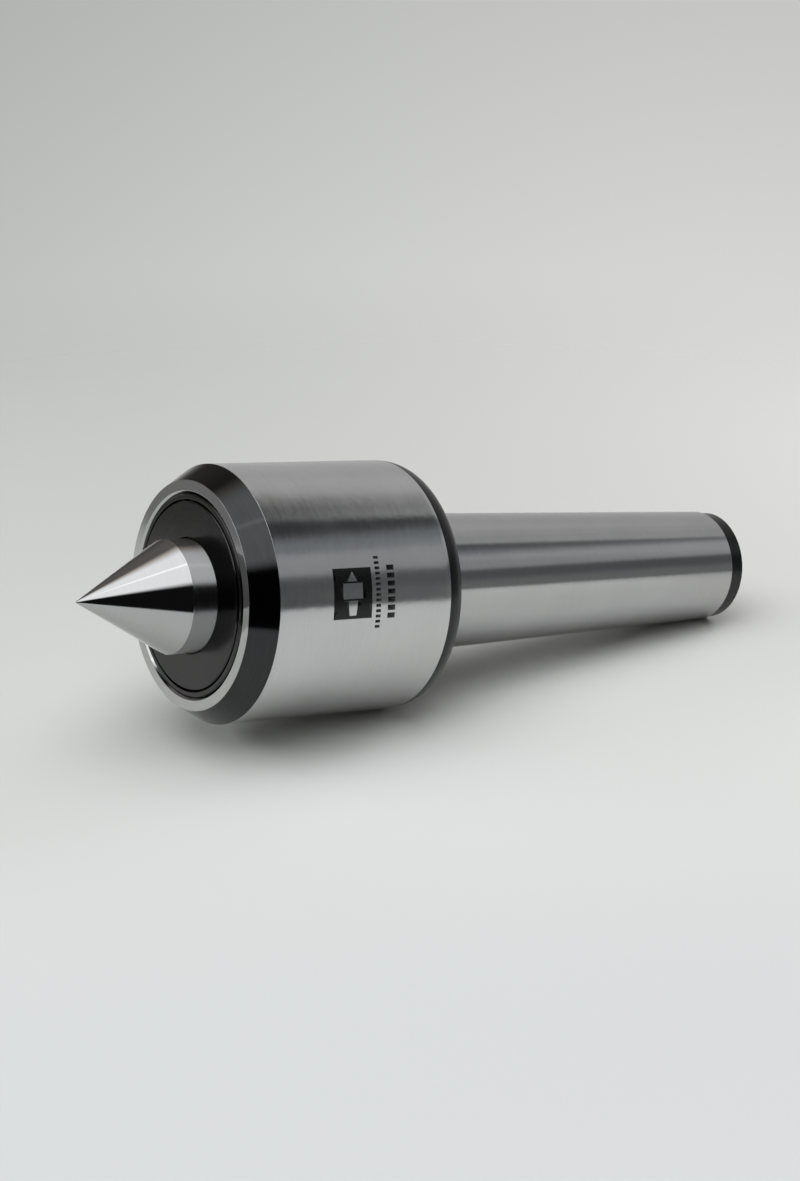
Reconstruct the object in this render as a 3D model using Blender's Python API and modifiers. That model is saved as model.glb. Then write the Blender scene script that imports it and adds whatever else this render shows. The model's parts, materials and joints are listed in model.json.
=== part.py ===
"""Heavy-duty live center: Morse taper no. 5 shank, fixed housing and turning 60 degree point.

The spindle turns in three bearings: a deep groove ball bearing behind the front nut, a
thrust ball bearing that takes the workpiece's push, and a needle bearing deep in the shank.

Frame: metres. The origin is on the turning axis at the taper's gauge plane, +X points to
the tip of the point, and +Z is up. Stations are places along X; radii are from the X axis.
"""
import math

import bmesh
import bpy
from mathutils import Matrix, Vector

MM = 0.001
GAP = 0.3 * MM                      # clearance between pieces that touch on the real tool
HALF_GAP = 0.15 * MM                # clearance of a running fit and of a filled seal groove

# Morse taper no. 5 shank
GAUGE_RADIUS = 44.399 / 2 * MM
TAPER_PER_LENGTH = 1 / 19.002       # loss of diameter along the taper
SHANK_END_X = -129.5 * MM
TAPER_END_X = -123.5 * MM           # the ground taper stops here, at a short relieved end
RELIEF_RADIUS = 18.3 * MM
RELIEF_STEP = 0.4 * MM
SHANK_END_CHAMFER = 0.6 * MM
CENTRE_HOLE_RADIUS = 6.0 * MM       # mouth of the 60 degree centre hole in the shank's end
CENTRE_PILOT_RADIUS = 2.5 * MM
CENTRE_PILOT_LENGTH = 5.4 * MM

# Housing outside
BODY_RADIUS = 39.5 * MM
BODY_REAR_X = 6.5 * MM
BODY_REAR_ROUNDING = 7.1 * MM       # along X; the rear edge is rounded, longer than it is deep
BODY_REAR_DEPTH = 4.6 * MM          # along the radius
BODY_CHAMFER_X = 74.7 * MM          # the cylinder ends here and the front chamfer begins
BODY_FRONT_X = 82.5 * MM
BODY_FRONT_RADIUS = 34.8 * MM
BORE_EDGE = 0.65 * MM               # chamfer at the front bore's mouth

# Front ball bearing: 30 bore, 62 outside, 16 wide
FRONT_BORE_RADIUS = 15.0 * MM
FRONT_OUTSIDE_RADIUS = 31.0 * MM
FRONT_WIDTH = 16.0 * MM
FRONT_BALL_RADIUS = 9.525 / 2 * MM
FRONT_PITCH_RADIUS = 23.0 * MM
FRONT_LAND_HEIGHT = 3.6 * MM        # from the pitch circle to either ring's shoulder
FRONT_BALL_COUNT = 9
FRONT_SHOULDER_X = 54.0 * MM        # the housing's shoulder behind the outer ring

# Thrust ball bearing: 25 bore, 52 outside, 18 high
THRUST_BORE_RADIUS = 12.5 * MM
THRUST_OUTSIDE_RADIUS = 26.0 * MM
THRUST_WASHER = 6.0 * MM
THRUST_SPREAD = 6.0 * MM            # between the two washers' faces
THRUST_BALL_RADIUS = 4.5 * MM
THRUST_PITCH_RADIUS = 19.25 * MM
THRUST_BALL_COUNT = 10
THRUST_CAGE_THICKNESS = 2.4 * MM
THRUST_FLOOR_X = 26.0 * MM          # the housing's floor under the thrust bearing
SHIM_THICKNESS = 0.5 * MM
SHIM_HOLE_RADIUS = 14.8 * MM

# Rear needle bearing: 20 bore, 28 outside, 20 long
NEEDLE_BORE_RADIUS = 10.0 * MM
NEEDLE_RADIUS = 1.25 * MM
NEEDLE_LENGTH = 16.0 * MM
NEEDLE_COUNT = 16
CUP_WALL = 1.2 * MM
CUP_LIP = 0.8 * MM
CUP_LENGTH = 20.0 * MM
CUP_REAR_X = -14.5 * MM
NEEDLE_CAGE_WALL = 1.2 * MM

# Spindle, with its point and nose
POINT_HALF_ANGLE = math.radians(30.0)
NOSE_RADIUS = 17.3 * MM
CONE_BASE_X = 90.5 * MM
TIP_FLAT_RADIUS = 0.25 * MM
SPINDLE_SHOULDER_X = 70.6 * MM      # the front bearing's inner ring is clamped against it
SPINDLE_WAIST_X = 24.0 * MM         # the thrust seat steps down to the needle seat
SPINDLE_END_X = -18.0 * MM
SPINDLE_EDGE = 0.8 * MM
TAIL_CENTRE_RADIUS = 2.6 * MM
TAIL_PILOT_RADIUS = 1.1 * MM
TAIL_PILOT_LENGTH = 3.0 * MM
CAVITY_END_X = -21.0 * MM
CAVITY_END_RADIUS = 10.9 * MM

# Front nut, with the shaft seal inside and the sealing disc in its recess
NUT_FRONT_X = 82.4 * MM
NUT_RADIUS = FRONT_OUTSIDE_RADIUS - GAP
NUT_EDGE = 0.4 * MM
RECESS_RADIUS = 29.1 * MM
RECESS_FLOOR_X = 78.2 * MM
SEAL_SEAT_RADIUS = 23.2 * MM
SEAL_SEAT_REAR_X = 72.2 * MM
NUT_LIP_RADIUS = 21.0 * MM
SPANNER_HOLE_RADIUS = 1.7 * MM
SPANNER_HOLE_PITCH_RADIUS = 25.8 * MM
SPANNER_HOLE_DEPTH = 5.0 * MM
SPANNER_HOLE_COUNT = 4
DISC_RADIUS = 28.5 * MM
DISC_FRONT_X = 82.6 * MM
DISC_REAR_X = 78.6 * MM
DISC_EDGE = 0.3 * MM

# Rubber rings
DISC_O_RING_WIRE = 0.65 * MM
DISC_O_RING_RADIUS = 16.75 * MM
DISC_O_RING_X = 80.6 * MM
NUT_O_RING_WIRE = 0.75 * MM
NUT_O_RING_RADIUS = 30.05 * MM
NUT_O_RING_X = 74.4 * MM
GARTER_WIRE = 0.7 * MM
GARTER_RADIUS = 20.4 * MM
GARTER_X = 74.5 * MM
SEAL_WALL = 1.2 * MM

# Spindle lock nut and its tab washer, on the thread behind the front bearing
LOCK_NUT_RADIUS = 22.5 * MM
LOCK_NUT_REAR_X = 46.2 * MM
LOCK_NUT_EDGE = 0.8 * MM
LOCK_NUT_SLOTS = 4
LOCK_NUT_SLOT_WIDTH = 5.0 * MM
LOCK_NUT_SLOT_DEPTH = 2.0 * MM
TAB_WASHER_THICKNESS = 1.1 * MM
TAB_WASHER_RADIUS = 21.2 * MM
TAB_RADIUS = 24.5 * MM
TAB_COUNT = 11
TAB_SHARE = 0.42                    # part of each tab's pitch that the tab fills

# Facets round the axis
HOUSING_FACETS = 48
RING_FACETS = 40
SMALL_FACETS = 32
RUBBER_FACETS = 24
SHARP_ANGLE = math.radians(28.0)

DRILL_HALF_ANGLE = math.radians(59.0)
BORE_END_HALF_ANGLE = math.radians(75.0)
FULL_TURN = 2 * math.pi
POINT_TO_X = Matrix.Rotation(math.pi / 2, 4, "Y")     # turns local +Z to the row's +X

# Stations that follow from the sizes above
CONE_LENGTH = NOSE_RADIUS / math.tan(POINT_HALF_ANGLE)
FRONT_REAR_X = FRONT_SHOULDER_X + GAP
FRONT_BALL_X = FRONT_REAR_X + FRONT_WIDTH / 2
SHIM_X = THRUST_FLOOR_X + GAP
THRUST_REAR_X = SHIM_X + SHIM_THICKNESS + GAP
THRUST_BALL_X = THRUST_REAR_X + THRUST_WASHER + THRUST_SPREAD / 2
THRUST_FRONT_X = THRUST_BALL_X + THRUST_SPREAD / 2 + THRUST_WASHER
SPINDLE_STEP_X = THRUST_FRONT_X + GAP
NEEDLE_PITCH_RADIUS = NEEDLE_BORE_RADIUS + HALF_GAP + NEEDLE_RADIUS
CUP_INSIDE_RADIUS = NEEDLE_PITCH_RADIUS + NEEDLE_RADIUS + HALF_GAP
CUP_OUTSIDE_RADIUS = CUP_INSIDE_RADIUS + CUP_WALL
NEEDLE_MIDDLE_X = CUP_REAR_X + CUP_LENGTH / 2
TAB_WASHER_X = FRONT_REAR_X - GAP - TAB_WASHER_THICKNESS
LOCK_NUT_FRONT_X = TAB_WASHER_X - GAP

parts = bpy.data.collections.new("live_center")
cutters = bpy.data.collections.new("cutters")


def clear_scene():
    for obj in list(bpy.data.objects):
        bpy.data.objects.remove(obj, do_unlink=True)
    for collection in (parts, cutters):
        bpy.context.scene.collection.children.link(collection)


def make_material(name, color, roughness, metallic=1.0):
    material = bpy.data.materials.new(name)
    material.use_nodes = True
    shader = material.node_tree.nodes["Principled BSDF"]
    shader.inputs["Base Color"].default_value = (*color, 1.0)
    shader.inputs["Roughness"].default_value = roughness
    shader.inputs["Metallic"].default_value = metallic
    return material


def arc(centre_x, centre_r, radius, start, end, count):
    """Points (x, r) on an arc; angles in degrees from +X towards larger radii."""
    points = []
    for i in range(count + 1):
        angle = math.radians(start + (end - start) * i / count)
        points.append((centre_x + radius * math.cos(angle), centre_r + radius * math.sin(angle)))
    return points


def apply_modifiers(obj):
    """Keep the modifiers' result as the object's mesh, smooth between its crisp corners."""
    graph = bpy.context.evaluated_depsgraph_get()
    mesh = bpy.data.meshes.new_from_object(obj.evaluated_get(graph))
    obj.modifiers.clear()
    obj.data = mesh
    mesh.shade_smooth()
    mesh.set_sharp_from_angle(angle=SHARP_ANGLE)


def turned(name, profile, facets, closed=True):
    """Turn a profile of (x, r) points about X.

    The points run from front to rear on the outer side. A closed profile is a ring; an open
    one starts and ends on the axis.
    """
    mesh = bpy.data.meshes.new(name)
    edges = [(i, i + 1) for i in range(len(profile) - 1)]
    if closed:
        edges.append((len(profile) - 1, 0))
    mesh.from_pydata([(r, 0.0, x) for x, r in profile], edges, [])
    obj = bpy.data.objects.new(name, mesh)
    parts.objects.link(obj)
    obj.matrix_world = POINT_TO_X
    screw = obj.modifiers.new("turn", "SCREW")
    screw.axis = "Z"
    screw.angle = FULL_TURN
    screw.steps = facets
    screw.render_steps = facets
    screw.use_merge_vertices = True
    screw.merge_threshold = 0.01 * MM
    apply_modifiers(obj)
    return obj


def around_axis(name, count, make_one, start=0.0):
    """A cutter made of equal shapes spaced round X. make_one adds one at the top to a bmesh."""
    bm = bmesh.new()
    for i in range(count):
        before = set(bm.verts)
        make_one(bm)
        fresh = [vert for vert in bm.verts if vert not in before]
        turn = Matrix.Rotation(start + FULL_TURN * i / count, 4, "X")
        bmesh.ops.transform(bm, matrix=turn, verts=fresh)
    mesh = bpy.data.meshes.new(name)
    bm.to_mesh(mesh)
    bm.free()
    obj = bpy.data.objects.new(name, mesh)
    cutters.objects.link(obj)
    obj.hide_render = True
    obj.display_type = "WIRE"
    return obj


def cut(obj, cutter):
    boolean = obj.modifiers.new("cut", "BOOLEAN")
    boolean.operation = "DIFFERENCE"
    boolean.solver = "EXACT"
    boolean.object = cutter
    bpy.context.view_layer.update()
    apply_modifiers(obj)


def rod_shape(bm, radius, length, facets, place):
    bmesh.ops.create_cone(bm, cap_ends=True, segments=facets, radius1=radius, radius2=radius,
                          depth=length, matrix=place)


def box_shape(bm, size, centre):
    place = Matrix.Translation(centre) @ Matrix.Diagonal((*size, 1.0))
    bmesh.ops.create_cube(bm, size=1.0, matrix=place)


def circle_points(radius, count, centre=(0.0, 0.0)):
    angles = [FULL_TURN * i / count for i in range(count)]
    return [(centre[0] + radius * math.cos(a), centre[1] + radius * math.sin(a)) for a in angles]


def flat_plate(name, outlines, middle_x, thickness):
    """A plate square to X, cut out by closed outlines of (u, v) points."""
    curve = bpy.data.curves.new(name, "CURVE")
    curve.dimensions = "2D"
    curve.fill_mode = "BOTH"
    curve.extrude = thickness / 2
    for outline in outlines:
        spline = curve.splines.new("POLY")
        spline.points.add(len(outline) - 1)
        for point, (u, v) in zip(spline.points, outline):
            point.co = (u, v, 0.0, 1.0)
        spline.use_cyclic_u = True
    shape = bpy.data.objects.new(name + "_outline", curve)
    cutters.objects.link(shape)
    graph = bpy.context.evaluated_depsgraph_get()
    mesh = bpy.data.meshes.new_from_object(shape.evaluated_get(graph))
    bpy.data.objects.remove(shape)
    bm = bmesh.new()
    bm.from_mesh(mesh)
    bmesh.ops.remove_doubles(bm, verts=bm.verts, dist=0.01 * MM)
    bm.to_mesh(mesh)
    bm.free()
    mesh.shade_smooth()
    mesh.set_sharp_from_angle(angle=SHARP_ANGLE)
    obj = bpy.data.objects.new(name, mesh)
    parts.objects.link(obj)
    obj.matrix_world = Matrix.Translation((middle_x, 0.0, 0.0)) @ POINT_TO_X
    return obj


def ring_points(middle_x, radius, wire, facets=6):
    return arc(middle_x, radius, wire, 0.0, 360.0 * (facets - 1) / facets, facets - 1)


def paint(obj, material):
    obj.data.materials.clear()
    obj.data.materials.append(material)


def taper_radius(x):
    return GAUGE_RADIUS + x * TAPER_PER_LENGTH / 2


def make_housing():
    """One turned piece: the body with its stepped bore, and the tapered shank behind it."""
    cone_depth = (CENTRE_HOLE_RADIUS - CENTRE_PILOT_RADIUS) / math.tan(math.radians(30.0))
    pilot_x = SHANK_END_X + cone_depth
    pilot_end_x = pilot_x + CENTRE_PILOT_LENGTH
    drill_point = CENTRE_PILOT_RADIUS / math.tan(DRILL_HALF_ANGLE)
    seat_radius = CUP_OUTSIDE_RADIUS + GAP
    rounding_x = BODY_REAR_X + BODY_REAR_ROUNDING
    squash = BODY_REAR_DEPTH / BODY_REAR_ROUNDING
    rear_edge = [(x, BODY_RADIUS - BODY_REAR_DEPTH + squash * rise)
                 for x, rise in arc(rounding_x, 0.0, BODY_REAR_ROUNDING, 90.0, 180.0, 5)]
    inside = [
        (CAVITY_END_X - CAVITY_END_RADIUS / math.tan(BORE_END_HALF_ANGLE), 0.0),
        (CAVITY_END_X, CAVITY_END_RADIUS),
        (CUP_REAR_X - GAP, CAVITY_END_RADIUS),
        (CUP_REAR_X - GAP, seat_radius),
        (THRUST_FLOOR_X, seat_radius),
        (THRUST_FLOOR_X, THRUST_OUTSIDE_RADIUS + GAP),
        (FRONT_SHOULDER_X, THRUST_OUTSIDE_RADIUS + GAP),
        (FRONT_SHOULDER_X, FRONT_OUTSIDE_RADIUS),
        (BODY_FRONT_X - BORE_EDGE, FRONT_OUTSIDE_RADIUS),
        (BODY_FRONT_X, FRONT_OUTSIDE_RADIUS + BORE_EDGE),
    ]
    outside = [
        (BODY_FRONT_X, BODY_FRONT_RADIUS),
        (BODY_CHAMFER_X, BODY_RADIUS),
        *rear_edge,
        (BODY_REAR_X, taper_radius(BODY_REAR_X)),
        (TAPER_END_X, taper_radius(TAPER_END_X)),
        (TAPER_END_X - RELIEF_STEP, RELIEF_RADIUS),
        (SHANK_END_X + SHANK_END_CHAMFER, RELIEF_RADIUS),
        (SHANK_END_X, RELIEF_RADIUS - SHANK_END_CHAMFER),
        (SHANK_END_X, CENTRE_HOLE_RADIUS),
        (pilot_x, CENTRE_PILOT_RADIUS),
        (pilot_end_x, CENTRE_PILOT_RADIUS),
        (pilot_end_x + drill_point, 0.0),
    ]
    return turned("housing", inside + outside, HOUSING_FACETS, closed=False)


def make_spindle():
    """The turning shaft: 60 degree point, nose, bearing seats and tail in one piece."""
    tip_x = CONE_BASE_X + CONE_LENGTH
    tip_flat = TIP_FLAT_RADIUS / math.tan(POINT_HALF_ANGLE)
    groove_half = DISC_O_RING_WIRE + HALF_GAP
    groove_radius = DISC_O_RING_RADIUS - groove_half
    tail_cone = (TAIL_CENTRE_RADIUS - TAIL_PILOT_RADIUS) / math.tan(math.radians(30.0))
    pilot_x = SPINDLE_END_X + tail_cone
    profile = [
        (tip_x - tip_flat, 0.0),
        (tip_x - tip_flat, TIP_FLAT_RADIUS),
        (CONE_BASE_X, NOSE_RADIUS),
        (DISC_O_RING_X + groove_half, NOSE_RADIUS),
        (DISC_O_RING_X + groove_half, groove_radius),
        (DISC_O_RING_X - groove_half, groove_radius),
        (DISC_O_RING_X - groove_half, NOSE_RADIUS),
        (SPINDLE_SHOULDER_X, NOSE_RADIUS),
        (SPINDLE_SHOULDER_X, FRONT_BORE_RADIUS),
        (SPINDLE_STEP_X, FRONT_BORE_RADIUS),
        (SPINDLE_STEP_X, THRUST_BORE_RADIUS),
        (SPINDLE_WAIST_X, THRUST_BORE_RADIUS),
        (SPINDLE_WAIST_X, NEEDLE_BORE_RADIUS),
        (SPINDLE_END_X + SPINDLE_EDGE, NEEDLE_BORE_RADIUS),
        (SPINDLE_END_X, NEEDLE_BORE_RADIUS - SPINDLE_EDGE),
        (SPINDLE_END_X, TAIL_CENTRE_RADIUS),
        (pilot_x, TAIL_PILOT_RADIUS),
        (pilot_x + TAIL_PILOT_LENGTH, TAIL_PILOT_RADIUS),
        (pilot_x + TAIL_PILOT_LENGTH, 0.0),
    ]
    return turned("spindle", profile, RING_FACETS, closed=False)


def make_front_nut():
    """Threaded ring that holds the front bearing; its recess takes the disc."""
    groove_half = NUT_O_RING_WIRE + HALF_GAP
    groove_radius = NUT_O_RING_RADIUS - groove_half
    rear_x = FRONT_REAR_X + FRONT_WIDTH + GAP
    profile = [
        (NUT_FRONT_X, RECESS_RADIUS),
        (NUT_FRONT_X, NUT_RADIUS - NUT_EDGE),
        (NUT_FRONT_X - NUT_EDGE, NUT_RADIUS),
        (NUT_O_RING_X + groove_half, NUT_RADIUS),
        (NUT_O_RING_X + groove_half, groove_radius),
        (NUT_O_RING_X - groove_half, groove_radius),
        (NUT_O_RING_X - groove_half, NUT_RADIUS),
        (rear_x, NUT_RADIUS),
        (rear_x, NUT_LIP_RADIUS),
        (SEAL_SEAT_REAR_X, NUT_LIP_RADIUS),
        (SEAL_SEAT_REAR_X, SEAL_SEAT_RADIUS),
        (RECESS_FLOOR_X, SEAL_SEAT_RADIUS),
        (RECESS_FLOOR_X, RECESS_RADIUS),
    ]
    nut = turned("front_nut", profile, RING_FACETS)
    middle = Vector((RECESS_FLOOR_X, 0.0, SPANNER_HOLE_PITCH_RADIUS))
    place = Matrix.Translation(middle) @ POINT_TO_X

    def spanner_hole(bm):
        rod_shape(bm, SPANNER_HOLE_RADIUS, 2 * SPANNER_HOLE_DEPTH, 12, place)

    cut(nut, around_axis("spanner_holes", SPANNER_HOLE_COUNT, spanner_hole, math.pi / 4))
    return nut


def make_sealing_disc():
    profile = [
        (DISC_FRONT_X, NOSE_RADIUS + GAP),
        (DISC_FRONT_X, DISC_RADIUS - DISC_EDGE),
        (DISC_FRONT_X - DISC_EDGE, DISC_RADIUS),
        (DISC_REAR_X, DISC_RADIUS),
        (DISC_REAR_X, NOSE_RADIUS + GAP),
    ]
    return turned("sealing_disc", profile, RING_FACETS)


def make_shaft_seal():
    """Lip seal: a front wall, an outer leg in the nut and a lip on the nose's rear end."""
    front_x = RECESS_FLOOR_X - GAP
    rear_x = SEAL_SEAT_REAR_X + GAP
    outer = SEAL_SEAT_RADIUS - GAP
    lip = NOSE_RADIUS + HALF_GAP * 2
    profile = [
        (front_x, lip + SEAL_WALL),
        (front_x, outer),
        (rear_x, outer),
        (rear_x, outer - SEAL_WALL / 2),
        (front_x - SEAL_WALL, outer - SEAL_WALL),
        (front_x - SEAL_WALL, lip + SEAL_WALL),
        (rear_x, lip + SEAL_WALL),
        (rear_x, lip + SEAL_WALL / 2),
        (rear_x + SEAL_WALL, lip),
    ]
    return turned("shaft_seal", profile, SMALL_FACETS)


def make_front_bearing():
    """Both rings with their ball grooves, and the cage with a round pocket for each ball."""
    front_x = FRONT_REAR_X + FRONT_WIDTH
    groove = FRONT_BALL_RADIUS + GAP
    half_angle = math.degrees(math.acos(FRONT_LAND_HEIGHT / groove))
    outer_land = FRONT_PITCH_RADIUS + FRONT_LAND_HEIGHT
    inner_land = FRONT_PITCH_RADIUS - FRONT_LAND_HEIGHT
    ball_place = (FRONT_BALL_X, FRONT_PITCH_RADIUS, groove)
    outer = [
        (front_x, FRONT_OUTSIDE_RADIUS - GAP),
        (FRONT_REAR_X, FRONT_OUTSIDE_RADIUS - GAP),
        (FRONT_REAR_X, outer_land),
        *arc(*ball_place, 90.0 + half_angle, 90.0 - half_angle, 4),
        (front_x, outer_land),
    ]
    inner = [
        (front_x, inner_land),
        *arc(*ball_place, -90.0 + half_angle, -90.0 - half_angle, 4),
        (FRONT_REAR_X, inner_land),
        (FRONT_REAR_X, FRONT_BORE_RADIUS + GAP),
        (front_x, FRONT_BORE_RADIUS + GAP),
    ]
    wall = 1.1 * MM
    pocket = FRONT_BALL_RADIUS + 0.5 * MM
    side = pocket + 1.0 * MM
    cage = [
        (FRONT_BALL_X + side, FRONT_PITCH_RADIUS + wall),
        (FRONT_BALL_X - side, FRONT_PITCH_RADIUS + wall),
        (FRONT_BALL_X - side, FRONT_PITCH_RADIUS - wall),
        (FRONT_BALL_X + side, FRONT_PITCH_RADIUS - wall),
    ]
    rings = [turned("front_bearing_outer_ring", outer, RING_FACETS),
             turned("front_bearing_inner_ring", inner, SMALL_FACETS)]
    cage_ring = turned("front_bearing_cage", cage, SMALL_FACETS)
    place = Matrix.Translation((FRONT_BALL_X, 0.0, FRONT_PITCH_RADIUS))

    def ball_pocket(bm):
        rod_shape(bm, pocket, 4 * wall, 10, place)

    cut(cage_ring, around_axis("front_pockets", FRONT_BALL_COUNT, ball_pocket))
    return rings, cage_ring


def make_thrust_bearing():
    """Two washers with facing ball grooves, and a flat cage between them."""
    groove = THRUST_BALL_RADIUS + GAP
    half_angle = math.degrees(math.acos(THRUST_SPREAD / 2 / groove))
    ball_place = (THRUST_BALL_X, THRUST_PITCH_RADIUS, groove)
    outer = THRUST_OUTSIDE_RADIUS
    housing_face_x = THRUST_REAR_X + THRUST_WASHER
    shaft_face_x = THRUST_FRONT_X - THRUST_WASHER
    housing_side = [
        (housing_face_x, outer),
        (THRUST_REAR_X, outer),
        (THRUST_REAR_X, THRUST_BORE_RADIUS + 5 * GAP),
        (housing_face_x, THRUST_BORE_RADIUS + 5 * GAP),
        *arc(*ball_place, 180.0 + half_angle, 180.0 - half_angle, 4),
    ]
    shaft_side = [
        (THRUST_FRONT_X, outer - 2 * GAP),
        (shaft_face_x, outer - 2 * GAP),
        *arc(*ball_place, half_angle, -half_angle, 4),
        (shaft_face_x, THRUST_BORE_RADIUS + GAP),
        (THRUST_FRONT_X, THRUST_BORE_RADIUS + GAP),
    ]
    washers = [turned("thrust_housing_washer", housing_side, RING_FACETS),
               turned("thrust_shaft_washer", shaft_side, RING_FACETS)]
    hole = THRUST_BALL_RADIUS + 0.4 * MM
    outlines = [circle_points(THRUST_PITCH_RADIUS + hole + 0.9 * MM, SMALL_FACETS),
                circle_points(THRUST_PITCH_RADIUS - hole - 0.8 * MM, SMALL_FACETS)]
    for i in range(THRUST_BALL_COUNT):
        angle = FULL_TURN * i / THRUST_BALL_COUNT
        centre = (THRUST_PITCH_RADIUS * math.cos(angle), THRUST_PITCH_RADIUS * math.sin(angle))
        outlines.append(circle_points(hole, 12, centre))
    cage = flat_plate("thrust_cage", outlines, THRUST_BALL_X, THRUST_CAGE_THICKNESS)
    return washers, cage


def make_needle_bearing():
    """Drawn cup with a lip at each end, and a cage with a slot for each needle."""
    front_x = CUP_REAR_X + CUP_LENGTH
    lip_radius = NEEDLE_BORE_RADIUS + 3 * GAP
    cup = [
        (front_x, lip_radius),
        (front_x, CUP_OUTSIDE_RADIUS),
        (CUP_REAR_X, CUP_OUTSIDE_RADIUS),
        (CUP_REAR_X, lip_radius),
        (CUP_REAR_X + CUP_LIP, lip_radius),
        (CUP_REAR_X + CUP_LIP, CUP_INSIDE_RADIUS),
        (front_x - CUP_LIP, CUP_INSIDE_RADIUS),
        (front_x - CUP_LIP, lip_radius),
    ]
    half = NEEDLE_LENGTH / 2 + 0.9 * MM
    low = NEEDLE_PITCH_RADIUS - NEEDLE_CAGE_WALL / 2
    high = NEEDLE_PITCH_RADIUS + NEEDLE_CAGE_WALL / 2
    cage = [
        (NEEDLE_MIDDLE_X + half, high),
        (NEEDLE_MIDDLE_X - half, high),
        (NEEDLE_MIDDLE_X - half, low),
        (NEEDLE_MIDDLE_X + half, low),
    ]
    cup_ring = turned("rear_bearing_cup", cup, SMALL_FACETS)
    cage_ring = turned("needle_cage", cage, SMALL_FACETS)
    slot = (NEEDLE_LENGTH + 2 * GAP, 2 * NEEDLE_RADIUS + 2 * GAP, 4 * NEEDLE_CAGE_WALL)
    centre = (NEEDLE_MIDDLE_X, 0.0, NEEDLE_PITCH_RADIUS)

    def needle_slot(bm):
        box_shape(bm, slot, centre)

    cut(cage_ring, around_axis("needle_slots", NEEDLE_COUNT, needle_slot))
    return cup_ring, cage_ring


def make_lock_nut():
    """Round nut with spanner slots, and the tab washer whose tabs lock it."""
    profile = [
        (LOCK_NUT_FRONT_X, LOCK_NUT_RADIUS),
        (LOCK_NUT_REAR_X + LOCK_NUT_EDGE, LOCK_NUT_RADIUS),
        (LOCK_NUT_REAR_X, LOCK_NUT_RADIUS - LOCK_NUT_EDGE),
        (LOCK_NUT_REAR_X, FRONT_BORE_RADIUS + GAP),
        (LOCK_NUT_FRONT_X, FRONT_BORE_RADIUS + GAP),
    ]
    nut = turned("spindle_lock_nut", profile, RING_FACETS)
    length = 2 * (LOCK_NUT_FRONT_X - LOCK_NUT_REAR_X)
    size = (length, LOCK_NUT_SLOT_WIDTH, 2 * LOCK_NUT_SLOT_DEPTH)

    def spanner_slot(bm):
        box_shape(bm, size, (LOCK_NUT_REAR_X, 0.0, LOCK_NUT_RADIUS))

    cut(nut, around_axis("lock_nut_slots", LOCK_NUT_SLOTS, spanner_slot))

    edge = []
    pitch = FULL_TURN / TAB_COUNT
    for i in range(TAB_COUNT):
        middle = pitch * i
        for share, radius in ((-0.5, TAB_WASHER_RADIUS), (-0.5, TAB_RADIUS),
                              (0.5, TAB_RADIUS), (0.5, TAB_WASHER_RADIUS)):
            angle = middle + share * TAB_SHARE * pitch
            edge.append((radius * math.cos(angle), radius * math.sin(angle)))
    hole = circle_points(FRONT_BORE_RADIUS + GAP, SMALL_FACETS)
    middle_x = TAB_WASHER_X + TAB_WASHER_THICKNESS / 2
    washer = flat_plate("tab_washer", [edge, hole], middle_x, TAB_WASHER_THICKNESS)
    return nut, washer


def make_thrust_shim():
    profile = [
        (SHIM_X + SHIM_THICKNESS, THRUST_OUTSIDE_RADIUS - GAP),
        (SHIM_X, THRUST_OUTSIDE_RADIUS - GAP),
        (SHIM_X, SHIM_HOLE_RADIUS),
        (SHIM_X + SHIM_THICKNESS, SHIM_HOLE_RADIUS),
    ]
    return turned("thrust_shim", profile, SMALL_FACETS)


def make_balls(prefix, count, radius, x, pitch_radius):
    """Equal balls spaced round the axis, each an object of its own with its origin inside."""
    mesh = bpy.data.meshes.new(prefix)
    bm = bmesh.new()
    bmesh.ops.create_uvsphere(bm, u_segments=8, v_segments=6, radius=radius)
    bm.to_mesh(mesh)
    bm.free()
    mesh.shade_smooth()
    balls = []
    for i in range(count):
        angle = FULL_TURN * i / count
        ball = bpy.data.objects.new(f"{prefix}_{i + 1}", mesh)
        ball.location = (x, -pitch_radius * math.sin(angle), pitch_radius * math.cos(angle))
        parts.objects.link(ball)
        balls.append(ball)
    return balls


def make_needles():
    mesh = bpy.data.meshes.new("needle")
    bm = bmesh.new()
    rod_shape(bm, NEEDLE_RADIUS, NEEDLE_LENGTH, 8, POINT_TO_X)
    bm.to_mesh(mesh)
    bm.free()
    mesh.shade_smooth()
    mesh.set_sharp_from_angle(angle=math.radians(60.0))
    needles = []
    for i in range(NEEDLE_COUNT):
        angle = FULL_TURN * i / NEEDLE_COUNT
        sideways = -NEEDLE_PITCH_RADIUS * math.sin(angle)
        upwards = NEEDLE_PITCH_RADIUS * math.cos(angle)
        needle = bpy.data.objects.new(f"needle_{i + 1}", mesh)
        needle.location = (NEEDLE_MIDDLE_X, sideways, upwards)
        needle.rotation_euler = (angle, 0.0, 0.0)
        parts.objects.link(needle)
        needles.append(needle)
    return needles


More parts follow.
